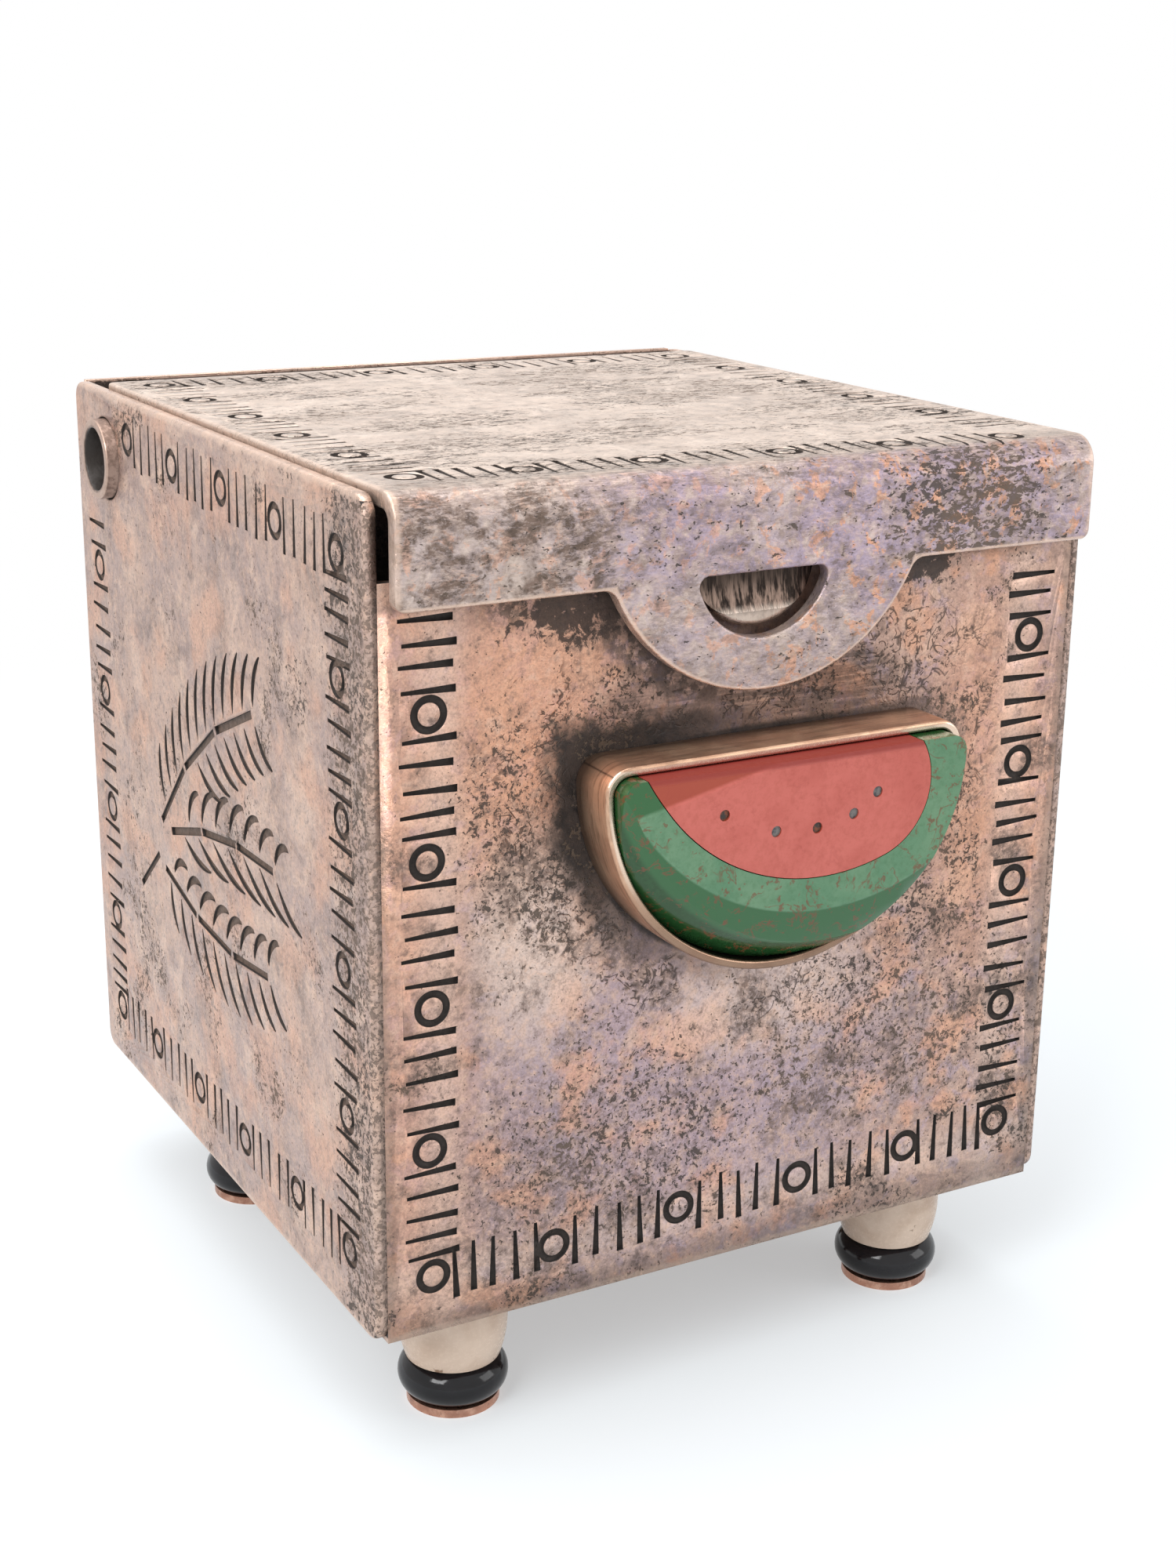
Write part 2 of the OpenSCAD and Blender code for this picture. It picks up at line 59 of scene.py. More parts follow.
for item in list(bpy.data.objects):
    bpy.data.objects.remove(item)
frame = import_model()
NODES = frame["nodes"]

# Outer faces, rims and centres of the model, in millimetres. A centre is given across its axis.
FRONT_Y = -22.45
BACK_Y = 27.35
SIDE_X = 24.3
PANEL_X = 23.6
FOOT_Z = 8.5
WALL_TOP = 58.5
SHEET = 0.7
LID_TOP = 58.8
LID_X = 23.35
LID_BACK = 23.05
LIP_FOOT = 52.5
FOLD = (-22.65, 57.1)
FOLD_R = 1.7
TAB_R = 11.1
TAB_DROP = 2
STONE_Y = -27.35
INLAY = (0.75, 41.29)
BEZEL_R = 12.3
BEZEL_RISE = 1.5
TUBE = (21.05, 53.95)
TUBE_BORE_R = 2.1
TUBE_END = 25.1
# Past every edge of the model, for a mask without a limit on that side.
BEYOND = 70
# The struck marks' floors lie less deep than this.
STRUCK_DEEP = 0.28

# How the CAD meshes are cleaned and their edges told apart. Angles are in degrees.
SAME_POINT = 0.001
FLAT_ANGLE = 0.6
EDGE_ANGLE = 50
SHARP_CORNER = 110
NORMAL_WEIGHT = 60
# Width of the eased edge of a struck mark, and that of the rubbed rims in the patina.
MARK_EASE = 0.04
RUBBED = 0.5

# The camera's place, the point it looks at, its roll in degrees, its lens and its sensor.
CAMERA_PLACE = (-71.92, -131.65, 80.23)
CAMERA_AIM = (0, -3.35, 34.1)
CAMERA_ROLL = 0.73
LENS = 53.0
SENSOR_HEIGHT = 36
CLIP_START = 10

# Square lamps: name, place, side and power in watts. All are turned to the same point.
LAMPS = (
    ("overhead", (-40, 60, 450), 450, 1.9),
    ("key", (-340, -200, 340), 220, 1.5),
    ("side", (360, -300, 200), 250, 0.5),
)
LAMP_AIM = (0, 0, 30)
FILL_COLOUR = (0.95, 0.98, 1)
FILL_STRENGTH = 0.5
WHITE = (1, 1, 1)
PAPER = (0.8, 0.86, 0.9)
FLOOR_HALF = 2000


def place_camera():
    """Makes the scene's camera, turned about its line of sight by the roll."""
    place = Vector(CAMERA_PLACE) * MM
    aim = Vector(CAMERA_AIM) * MM
    roll = math.radians(CAMERA_ROLL)
    back = (place - aim).normalized()
    right = Vector((0, 0, 1)).cross(back).normalized()
    up = back.cross(right)
    turned_right = math.cos(roll) * right + math.sin(roll) * up
    turned_up = math.cos(roll) * up - math.sin(roll) * right
    data = bpy.data.cameras.new("camera")
    data.sensor_fit = "VERTICAL"
    data.sensor_height = SENSOR_HEIGHT
    data.lens = LENS
    data.clip_start = CLIP_START * MM
    camera = bpy.data.objects.new("camera", data)
    bpy.context.collection.objects.link(camera)
    turn = Matrix((turned_right, turned_up, back)).transposed().to_4x4()
    camera.matrix_world = Matrix.Translation(place) @ turn
    bpy.context.scene.camera = camera


class Shader:
    """A material under construction.

    put sets or links a socket and finish returns the material. Every other call returns the socket
    that carries its result."""

    def __init__(self, name):
        self.material = bpy.data.materials.new(name)
        self.material.use_nodes = True
        self.tree = self.material.node_tree
        self.principled = self.tree.nodes["Principled BSDF"]
        coord = self.tree.nodes.new("ShaderNodeTexCoord")
        scaled = self.tree.nodes.new("ShaderNodeVectorMath")
        scaled.operation = "SCALE"
        scaled.inputs["Scale"].default_value = 1 / MM
        self.tree.links.new(coord.outputs["Object"], scaled.inputs[0])
        self.place = scaled.outputs[0]
        split = self.tree.nodes.new("ShaderNodeSeparateXYZ")
        self.tree.links.new(self.place, split.inputs[0])
        self.x, self.y, self.z = split.outputs

    def put(self, socket, value):
        if isinstance(value, bpy.types.NodeSocket):
            self.tree.links.new(value, socket)
        elif isinstance(value, (tuple, list)) and len(value) == 3 and socket.type == "RGBA":
            socket.default_value = (*value, 1)
        else:
            socket.default_value = value

    def math(self, operation, a, b=0.0, clamp=False):
        node = self.tree.nodes.new("ShaderNodeMath")
        node.operation = operation
        node.use_clamp = clamp
        self.put(node.inputs[0], a)
        self.put(node.inputs[1], b)
        return node.outputs[0]

    def add(self, a, b):
        return self.math("ADD", a, b)

    def sub(self, a, b, clamp=False):
        return self.math("SUBTRACT", a, b, clamp)

    def mul(self, a, b):
        return self.math("MULTIPLY", a, b)

    def top(self, *values):
        """The largest of the values."""
        result = values[0]
        for value in values[1:]:
            result = self.math("MAXIMUM", result, value)
        return result

    def ramp(self, value, low, high, start=0.0, end=1.0):
        """Smooth step from start at low to end at high."""
        node = self.tree.nodes.new("ShaderNodeMapRange")
        node.interpolation_type = "SMOOTHSTEP"
        self.put(node.inputs["Value"], value)
        node.inputs["From Min"].default_value = low
        node.inputs["From Max"].default_value = high
        node.inputs["To Min"].default_value = start
        node.inputs["To Max"].default_value = end
        return node.outputs["Result"]

    def near(self, value, place, width):
        """1 where value is at place, falling to 0 at width away."""
        return self.ramp(self.math("ABSOLUTE", self.sub(value, place)), 0, width, 1, 0)

    def noise(self, scale, detail, roughness, shift, warp=0.0, stretch=(1, 1, 1)):
        """Cloudy noise round 0.5, moved by shift, swirled by warp and finer along a larger stretch."""
        vector = self.tree.nodes.new("ShaderNodeMapping")
        self.tree.links.new(self.place, vector.inputs["Vector"])
        vector.inputs["Location"].default_value = (shift, 1.7 * shift, -0.6 * shift)
        vector.inputs["Scale"].default_value = stretch
        node = self.tree.nodes.new("ShaderNodeTexNoise")
        self.tree.links.new(vector.outputs[0], node.inputs["Vector"])
        node.inputs["Scale"].default_value = scale
        node.inputs["Detail"].default_value = detail
        node.inputs["Roughness"].default_value = roughness
        node.inputs["Distortion"].default_value = warp
        return node.outputs["Fac"]

    def mix(self, fac, a, b):
        """Colour a where fac is 0, b where it is 1."""
        node = self.tree.nodes.new("ShaderNodeMix")
        node.data_type = "RGBA"
        self.put(node.inputs[0], fac)
        self.put(node.inputs[6], a)
        self.put(node.inputs[7], b)
        return node.outputs[2]

    def far(self, centre, stretch=(1, 1, 1)):
        """Distance from a point, each axis weighted by stretch."""
        offset = self.tree.nodes.new("ShaderNodeVectorMath")
        offset.operation = "SUBTRACT"
        self.tree.links.new(self.place, offset.inputs[0])
        offset.inputs[1].default_value = centre
        scaled = self.tree.nodes.new("ShaderNodeVectorMath")
        scaled.operation = "MULTIPLY"
        self.tree.links.new(offset.outputs[0], scaled.inputs[0])
        scaled.inputs[1].default_value = stretch
        length = self.tree.nodes.new("ShaderNodeVectorMath")
        length.operation = "LENGTH"
        self.tree.links.new(scaled.outputs[0], length.inputs[0])
        return length.outputs["Value"]

    def blob(self, centre, radius, stretch=(1, 1, 1), soft=0.6):
        """1 at the centre, falling to 0 round the radius; soft is the falling share of it."""
        return self.ramp(self.far(centre, stretch), radius * (1 - soft), radius * (1 + soft), 1, 0)

    def bump(self, height, strength, distance, under=None):
        """Normal bent by a height, on top of the normal under."""
        node = self.tree.nodes.new("ShaderNodeBump")
        node.inputs["Strength"].default_value = strength
        node.inputs["Distance"].default_value = distance * MM
        self.put(node.inputs["Height"], height)
        if under is not None:
            self.tree.links.new(under, node.inputs["Normal"])
        return node.outputs["Normal"]

    def finish(self, colour, metallic, roughness, normal=None, **sockets):
        """The material, with its values put in; sockets are further ones, _ standing for a space."""
        self.put(self.principled.inputs["Base Color"], colour)
        self.put(self.principled.inputs["Metallic"], metallic)
        self.put(self.principled.inputs["Roughness"], roughness)
        if normal is not None:
            self.tree.links.new(normal, self.principled.inputs["Normal"])
        for name, value in sockets.items():
            self.put(self.principled.inputs[name.replace("_", " ")], value)
        return self.material


def rgb(*screen):
    """Screen colour, its channels from 11 to 255, as linear light."""
    return tuple(((v / 255 + 0.055) / 1.055) ** 2.4 for v in screen)


# Colours of the tarnish on every sheet. The noise of a patch picks between the two of a pair.
LILAC = (rgb(174, 158, 180), rgb(186, 163, 166))
ORANGE = rgb(230, 168, 132)
PALE = rgb(226, 202, 188)
GRIME = (rgb(84, 70, 62), rgb(124, 104, 94))
FLECK = rgb(224, 182, 156)
# Two dark colours of oxide, which also paint shade where the dark mask stands for it.
OXIDE_AND_SHADE = (rgb(21, 17, 15), rgb(49, 39, 34))
WORN = rgb(228, 198, 178)
PIT = (rgb(46, 37, 30), rgb(86, 70, 57))
SCRIBBLE = rgb(58, 48, 43)
# Dirt on the sides and on the floors of struck marks.
DIRT = (rgb(32, 27, 25), rgb(56, 47, 42))
WALL_DIRT = (rgb(42, 34, 30), rgb(116, 96, 84))
LID_DIRT = (rgb(46, 37, 32), rgb(100, 84, 74))


def patina(name, tints, sunk, rim, pits, dark=0.0, lilac=0.0, orange=0.0, pale=0.0, grime=0.0,
           lines=0.0, fill=DIRT, speckle=0.55, streak=(1, 1, 1), shift=0.0):
    """Tarnished sheet.

    tints are the ground's two colours, a light one and a dark one. sunk gives the struck marks' mask
    and the depth below the face, and fill is the marks' dirt. The other masks are numbers or functions
    of the shader: rim for rubbed edges, pits for where pits gather, dark for oxide and painted shade,
    lines for scribbled tool marks, and lilac, orange, pale and grime for the tarnish. speckle is the
    strength of the small specks, streak stretches the grain, and shift moves the noise, so that no two
    sheets are alike."""
    s = Shader(name)
    first, second, light, deep = tints

    def value(item):
        return item(s) if callable(item) else item

    cloud = s.noise(0.11, 3, 0.5, shift, 0.6)
    patch = s.noise(0.3, 5, 0.65, shift + 31, 0.8)
    mottle = s.noise(1.1, 5, 0.68, shift + 7, 0.3)
    grain = s.noise(6.5, 2, 0.6, shift + 3, 0, streak)
    speck = s.noise(2.7, 6, 0.78, shift + 43, 0.3, streak)
    broken = s.ramp(speck, 0.6, 0.42, 0.35, 1)
    gather = value(pits)
    speckled = s.mul(s.ramp(speck, 0.49, 0.38, 0, speckle), s.ramp(gather, 0, 0.6, 0.55, 1))
    half = s.ramp(mottle, 0.4, 0.6)
    ground = s.mix(s.ramp(cloud, 0.4, 0.62), first, second)
    ground = s.mix(s.mul(s.ramp(patch, 0.5, 0.64), 0.7), ground, light)
    ground = s.mix(s.mul(s.ramp(patch, 0.46, 0.3), 0.45), ground, deep)
    ground = s.mix(value(lilac), ground, s.mix(half, *LILAC))
    ground = s.mix(value(orange), ground, ORANGE)
    ground = s.mix(value(pale), ground, PALE)
    ground = s.mix(s.ramp(mottle, 0.5, 0.7, 0, 0.55), ground, light)
    ground = s.mix(s.mul(s.ramp(mottle, 0.47, 0.3, 0, 0.85), broken), ground, deep)
    ground = s.mix(s.mul(value(grime), broken), ground, s.mix(half, *GRIME))
    ground = s.mix(speckled, ground, deep)
    ground = s.mix(s.ramp(speck, 0.54, 0.66, 0, speckle * 0.9), ground, FLECK)
    ground = s.mix(s.ramp(grain, 0.4, 0.7, 0, 0.26), ground, deep)

    pit_stretch = (streak[0] ** 0.5, streak[1] ** 0.5, 1)
    coarse = s.add(s.noise(1.7, 3, 0.7, shift + 13, 0.4, pit_stretch), s.mul(gather, 0.2))
    fine = s.add(s.noise(3.6, 2, 0.6, shift + 17, 0.3, pit_stretch), s.mul(gather, 0.18))
    pit = s.top(s.ramp(coarse, 0.7, 0.75), s.ramp(fine, 0.7, 0.73))
    stain = s.ramp(coarse, 0.58, 0.7)

    # The dark mask: oxide, and in places painted shade.
    oxide_and_shade = value(dark)
    groove, depth = sunk(s) if sunk else (0.0, 0.0)
    worn = value(rim)
    pit = s.mul(pit, s.ramp(worn, 0, 0.8, 1, 0.25))
    scribble = value(lines)
    colour = s.mix(s.mul(stain, 0.3), ground, deep)
    colour = s.mix(s.mul(oxide_and_shade, 0.98), colour, s.mix(s.ramp(mottle, 0.35, 0.65), *OXIDE_AND_SHADE))
    colour = s.mix(s.mul(worn, 0.7), colour, WORN)
    colour = s.mix(s.mul(pit, 0.85), colour, s.mix(s.ramp(cloud, 0.42, 0.58), *PIT))
    colour = s.mix(s.mul(scribble, 0.85), colour, SCRIBBLE)
    floor = s.mul(s.ramp(depth, 0.2, 0.25), s.ramp(speck, 0.35, 0.6, 0.45, 1))
    colour = s.mix(groove, colour, s.mix(floor, *fill))

    dull = s.top(pit, groove, oxide_and_shade)
    roughness = s.ramp(mottle, 0.3, 0.7, 0.34, 0.5)
    roughness = s.add(roughness, s.mul(dull, 0.3))
    roughness = s.sub(roughness, s.mul(worn, 0.12), True)
    metallic = s.ramp(dull, 0, 1, 0.75, 0.2)
    height = s.add(s.mul(mottle, 0.6), s.add(s.mul(grain, 0.1), s.mul(speck, 0.3)))
    height = s.sub(height, s.mul(s.top(pit, scribble), 0.5))
    normal = s.bump(height, 0.8, 0.12)
    normal = s.bump(patch, 0.5, 0.35, normal)
    return s.finish(colour, metallic, roughness, normal)


def wobble(s, amount):
    """A small length that varies from place to place."""
    return s.mul(s.sub(s.noise(0.8, 3, 0.6, 5), 0.5), amount)


def limits(s, axis, low, high, jitter, width=RUBBED):
    """Rubbed rims at both ends of an axis, of uneven width."""
    ends = [s.sub(axis, low), s.sub(high, axis)]
    return s.top(*(s.ramp(s.add(end, jitter), width * 0.3, width, 1, 0) for end in ends))


def marks(s, depth, face):
    """Mask of the struck marks, which is 0 past their floors, and the depth itself."""
    below = s.ramp(depth, 0.01, 0.05)
    above = s.ramp(depth, STRUCK_DEEP + 0.04, STRUCK_DEEP + 0.12, 1, 0)
    return s.mul(s.mul(below, above), face), depth


def within(s, axis, low, high):
    """1 between the limits of an axis, 0 within 0.3 of them and beyond."""
    return s.mul(s.ramp(axis, low + 0.3, low + 0.35), s.ramp(axis, high - 0.3, high - 0.35))


def inside(s, depth):
    """1 on the inner face of a wall, 0 on its outer face and its edges."""
    below_top = s.ramp(s.z, WALL_TOP - 0.05, WALL_TOP - 0.2)
    behind_front = s.ramp(s.y, FRONT_Y + 0.05, FRONT_Y + 0.2)
    return s.mul(s.ramp(depth, SHEET - 0.04, SHEET - 0.01), s.mul(below_top, behind_front))


def distance(s, across, up):
    """Distance from an axis, from the two lengths across it."""
    return s.math("POWER", s.add(s.mul(across, across), s.mul(up, up)), 0.5)


def bezel_gap(s):
    """Distance outside the bezel's outline, seen from the front."""
    dz = s.sub(s.z, INLAY[1])
    radius = distance(s, s.sub(s.x, INLAY[0]), dz)
    return s.top(s.sub(radius, BEZEL_R), s.sub(dz, BEZEL_RISE))


def tab_gap(s):
    """Distance outside the lid's lip and round tab, seen from the front."""
    radius = distance(s, s.x, s.sub(s.z, LID_TOP - TAB_DROP))
    return s.math("MINIMUM", s.sub(radius, TAB_R), s.sub(LIP_FOOT, s.z))


def front_oxide_and_shade(s):
    """Oxide and painted shade on the front panel: round the bezel, up to the tab, under the lip and on
    the inner face.
    """
    uneven = s.mul(s.sub(s.noise(0.45, 5, 0.7, 41, 0.8), 0.5), 5)
    bezel = s.add(bezel_gap(s), s.mul(uneven, 0.6))
    tab = s.add(tab_gap(s), s.mul(uneven, 0.7))
    # Oxide with painted shade: a dark halo round the bezel, strongest on its left and upper side.
    halo = s.mul(s.ramp(bezel, 1.0, 2.7, 1, 0), s.ramp(s.x, 8, -7, 0.1, 1))
    halo = s.mul(halo, s.ramp(s.z, 28, 37, 0.45, 1))
    # Dark along the bezel's foot: its solder seam, and painted shade in the crease.
    seam = s.mul(s.ramp(bezel_gap(s), 0.1, 0.8, 1, 0), s.ramp(s.x, 14, 4, 0.55, 0.95))
    # Oxide between the tab and the bezel, with painted shade under the tab.
    brushed = s.ramp(s.noise(2.2, 4, 0.65, 61, 0, (0.12, 1, 1.6)), 0.42, 0.62, 1, 0.45)
    between = s.mul(s.ramp(s.blob((0.5, FRONT_Y, 45), 3, (0.3, 0, 1), 0.4), 0.2, 0.7), brushed)
    # Painted shade under the lip, left of the tab, broken up like oxide.
    leftward = s.mul(s.ramp(s.x, -20, -15), s.ramp(s.x, 2, -4, 0.25, 1))
    chipped = s.ramp(s.noise(1.1, 5, 0.7, 57), 0.4, 0.5, 0.3, 1)
    under = s.mul(s.ramp(tab, 0.4, 2.4, 1, 0), s.mul(leftward, chipped))
    # Painted shadow of the lip and the tab, right along their outline.
    contact_shade = s.ramp(tab_gap(s), 0.1, 0.7, 0.5, 0)
    # Patches just under the lip, left and right of the tab: painted shade mixed with oxide.
    ragged = s.mul(s.sub(s.noise(1.1, 5, 0.72, 57, 0.4), 0.5), 1.9)
    left = s.ramp(s.add(s.blob((-11, FRONT_Y, 51.6), 3, (0.5, 0, 1), 0.95), ragged), 0.66, 0.82, 0, 0.9)
    right = s.ramp(s.add(s.blob((12, FRONT_Y, 51.8), 2.2, (0.5, 0, 1), 0.95), ragged), 0.7, 0.84, 0, 0.9)
    # The inner face: oxide and painted shade.
    inner = s.ramp(s.y, FRONT_Y + SHEET - 0.1, FRONT_Y + SHEET - 0.02)
    return s.top(halo, seam, s.mul(between, 0.64), s.mul(under, 0.85), contact_shade, left, right, inner)


def front_lines(s):
    """Broken scribbles of a graver round the bezel and to the right of the tab."""
    path = s.near(s.noise(0.42, 1, 0.5, 83, 1.6), 0.5, 0.05)
    other = s.near(s.noise(0.6, 1, 0.5, 91, 2.0), 0.48, 0.05)
    dash = s.ramp(s.noise(3.2, 2, 0.6, 19), 0.45, 0.5)
    bezel = bezel_gap(s)
    ring = s.mul(s.ramp(bezel, 0.3, 1), s.ramp(bezel, 4, 6.5, 1, 0))
    side = s.blob((11.5, FRONT_Y, 46.5), 3.4, (0.8, 0, 1), 0.3)
    place = s.top(s.mul(ring, s.ramp(s.noise(0.3, 1, 0.5, 97), 0.5, 0.56)), side)
    return s.mul(s.mul(s.top(path, other), dash), place)


def face_rim(s, top, across, share):
    """Rubbed rims of an upright sheet; share is for its upright sides."""
    jitter = wobble(s, 0.7)
    ends = s.mul(limits(s, s.z, FOOT_Z, top, jitter), 0.85)
    return s.top(ends, s.mul(limits(s, *across, jitter), share))


def gathered(s, seed):
    """The wide areas where pits gather."""
    return s.ramp(s.noise(0.15, 3, 0.55, seed), 0.5, 0.68)


def wall_patina(name, tints, depth, axis, ends, seed, shift):
    """Patina of a side or back wall.

    depth and axis are functions of the shader, for the depth below the outer face and the axis along
    the wall. Dirt and pits gather at the first of its ends. seed and shift move the noise."""

    def along(s):
        return axis(s), *ends

    def near_first(s, start, full):
        return s.ramp(axis(s), ends[0] + start, ends[0] + full)

    def sunk(s):
        return marks(s, depth(s), s.mul(within(s, s.z, FOOT_Z, WALL_TOP), within(s, *along(s))))

    def rim(s):
        return s.mul(face_rim(s, WALL_TOP, along(s), 0.32), s.sub(1, inside(s, depth(s))))

    def grime(s):
        stains = s.mul(s.ramp(s.noise(0.24, 4, 0.6, seed + 67), 0.48, 0.68), 0.4)
        dirt = s.ramp(s.noise(0.8, 4, 0.65, seed + 71), 0.42, 0.6, 0, 0.6)
        return s.top(stains, s.mul(near_first(s, 6, 2.5), dirt))

    return patina(
        name,
        tints,
        sunk=sunk,
        rim=rim,
        pits=lambda s: s.mul(s.top(gathered(s, seed), near_first(s, 7, 3)), 0.8),
        # The inner face darkened: oxide and painted shade.
        dark=lambda s: s.mul(inside(s, depth(s)), 0.9),
        lilac=0.08,
        orange=lambda s: s.mul(s.ramp(s.noise(0.2, 3, 0.5, seed + 5), 0.48, 0.64), 0.36),
        grime=grime,
        fill=WALL_DIRT,
        shift=shift,
    )


def sheet_materials():
    """The patinas of all sheets, by the names that build_sheets and dress_nodes use."""
    brown = (rgb(188, 156, 142), rgb(168, 146, 142), rgb(218, 184, 164), rgb(118, 98, 89))
    fair = (rgb(200, 170, 153), rgb(182, 157, 147), rgb(222, 192, 172), rgb(124, 102, 92))
    beige = (rgb(208, 190, 177), rgb(198, 181, 169), rgb(222, 205, 192), rgb(128, 110, 98))
    front = patina(
        "front_patina",
        brown,
        sunk=lambda s: marks(s, s.sub(s.y, FRONT_Y), within(s, s.z, FOOT_Z, BEYOND)),
        rim=lambda s: face_rim(s, BEYOND, (s.x, -PANEL_X, PANEL_X), 0.25),
        pits=lambda s: s.top(
            s.mul(gathered(s, 23), 0.75),
            s.mul(s.blob((11, FRONT_Y, 22), 9, (0.8, 0, 1.2)), 0.62),
            s.mul(s.blob((-8, FRONT_Y, 18), 8, (0.8, 0, 1.2)), 0.62),
            s.mul(s.blob((-16, FRONT_Y, 40), 3, (1, 0, 0.5)), 0.6),
        ),
        dark=front_oxide_and_shade,
        lilac=lambda s: s.top(
            s.mul(s.blob((-4, FRONT_Y, 21), 11, (0.7, 0, 1.1)), 0.6),
            s.ramp(s.noise(0.55, 4, 0.65, 101, 0.4), 0.52, 0.6, 0, 0.5),
        ),
        orange=lambda s: s.mul(s.top(
            s.mul(s.blob((-15, FRONT_Y, 45), 6, (1, 0, 0.7)), 1.1),
            s.blob((18, FRONT_Y, 38), 6, (1.2, 0, 0.5)),
            s.mul(s.ramp(s.x, -17, -20), 0.7),
            s.ramp(s.noise(0.22, 4, 0.6, 59), 0.52, 0.64),
        ), 0.6),
        pale=lambda s: s.top(
            s.mul(s.blob((-14, FRONT_Y, 32), 4.5, (1.2, 0, 0.8)), 0.75),
            s.mul(s.blob((2, FRONT_Y, 26.5), 4, (0.6, 0, 1)), 0.6),
            s.mul(s.near(s.math("ABSOLUTE", s.x), 20, 2.2), 0.4),
            s.mul(s.near(s.z, 12, 2.2), 0.4),
        ),
        grime=lambda s: s.top(
            s.mul(s.ramp(s.noise(0.26, 4, 0.6, 67), 0.5, 0.66), s.ramp(s.z, 48, 38, 0.2, 0.85)),
            s.mul(s.blob((-15, FRONT_Y, 14), 8), 0.4),
        ),
        lines=front_lines,
        speckle=0.5,
    )
    side_run = (lambda s: s.y, (FRONT_Y, BACK_Y))
    back_run = (lambda s: s.x, (-PANEL_X, PANEL_X))
    left = wall_patina("left_patina", fair, lambda s: s.add(s.x, SIDE_X), *side_run, 3, 50)
    right = wall_patina("right_patina", brown, lambda s: s.sub(SIDE_X, s.x), *side_run, 9, 90)
    back = wall_patina("back_patina", brown, lambda s: s.sub(BACK_Y, s.y), *back_run, 19, 130)
    inner = patina("inside_patina", brown, None, 0.0, lambda s: gathered(s, 29), grime=0.5, shift=170)

    def lid_sunk(s):
        dy = s.math("MINIMUM", s.sub(s.y, FOLD[0]), 0)
        dz = s.top(s.sub(s.z, FOLD[1]), 0)
        depth = s.sub(FOLD_R, distance(s, dy, dz))
        face = s.mul(within(s, s.x, -LID_X, LID_X), within(s, s.y, -BEYOND, LID_BACK))
        return marks(s, depth, s.mul(face, s.ramp(s.z, FOLD[1] - 0.5, FOLD[1] - 0.1)))

    def lip(s):
        """1 on the lip and the front of the fold, 0 on the top."""
        return s.ramp(s.y, FRONT_Y - 0.15, FRONT_Y - 1.35)

    def lid_rim(s):
        side = limits(s, s.x, -LID_X, LID_X, wobble(s, 0.6), 0.45)
        foot = s.mul(s.ramp(tab_gap(s), -0.3, -0.12), s.ramp(s.y, FRONT_Y + 0.05, FRONT_Y - 0.15))
        return s.top(s.mul(side, 0.7), foot)

    def lid_orange(s):
        rightward = s.ramp(s.x, -8, 8, 0.45, 0.85)
        return s.mul(s.mul(lip(s), rightward), s.ramp(s.noise(0.7, 5, 0.7, 75, 0.5), 0.54, 0.6))

    def lid_grime(s):
        corners = s.top(s.ramp(s.x, -6, -13, 0.5, 1), s.ramp(s.x, 8, 12, 0, 0.3))
        smeared = s.mul(s.ramp(s.noise(0.4, 5, 0.65, 79, 0.4), 0.4, 0.56), corners)
        clouded = s.ramp(s.noise(0.5, 5, 0.75, 119, 0.3, (0.7, 1.3, 1)), 0.52, 0.68)
        return s.top(
            s.mul(lip(s), smeared),
            s.ramp(s.z, 51, 47, 0, 0.4),
            s.mul(s.ramp(s.y, -19.5, -22.5), s.mul(s.ramp(s.z, 57, 58), 0.55)),
            s.mul(clouded, s.mul(s.ramp(s.y, -23, -22), 0.28)),
        )

    def lid_pits(s):
        streaked = s.ramp(s.noise(0.16, 3, 0.5, 37, 0, (0.6, 1.4, 1)), 0.4, 0.58)
        return s.top(
            s.mul(streaked, s.ramp(s.y, -23, -22, 0.2, 0.7)),
            s.mul(s.blob((14, -24, 55.5), 5, (0.8, 0, 1)), s.mul(lip(s), 0.92)),
        )

    lid = patina(
        "lid_patina",
        beige,
        sunk=lid_sunk,
        rim=lid_rim,
        pits=lid_pits,
        lilac=lambda s: s.mul(
            s.mul(lip(s), s.mul(s.ramp(s.x, -17, -5, 0.3, 1), s.ramp(s.z, 47, 51.5, 0.5, 1))),
            s.ramp(s.noise(0.13, 3, 0.5, 71), 0.36, 0.56, 0.3, 0.95),
        ),
        orange=lid_orange,
        grime=lid_grime,
        fill=LID_DIRT,
        speckle=0.3,
        streak=(0.4, 2.4, 1),
        shift=210,
    )
    return {"front": front, "left": left, "right": right, "back": back, "inside": inner, "lid": lid}


def link(name, mesh):
    piece = bpy.data.objects.new(name, mesh)
    bpy.context.collection.objects.link(piece)
    return piece


def lid_depth(p):
    """Depth below the lid's outer skin, over the top, round the fold and down the lip."""
    if p.y > FOLD[0]:
        return LID_TOP - p.z
    if p.z > FOLD[1]:
        return FOLD_R - math.hypot(p.y - FOLD[0], p.z - FOLD[1])
    return p.y - FOLD[0] + FOLD_R


def bevel(bm, edges, width, segments):
    bmesh.ops.bevel(bm, geom=edges, offset=width * MM, offset_type="OFFSET", segments=segments,
                    profile=0.5, affect="EDGES", clamp_overlap=False)


def blunt(edges):
    """The edges that don't meet another one at a sharp corner, where a bevel would shoot out."""
    chosen = set(edges)
    sharp = set()
    for vert in {vert for edge in edges for vert in edge.verts}:
        pair = [edge for edge in vert.link_edges if edge in chosen]
        if len(pair) == 2:
            one, other = [edge.other_vert(vert).co - vert.co for edge in pair]
            if one.angle(other) < math.radians(SHARP_CORNER):
                sharp.update(pair)
    return [edge for edge in edges if edge not in sharp]


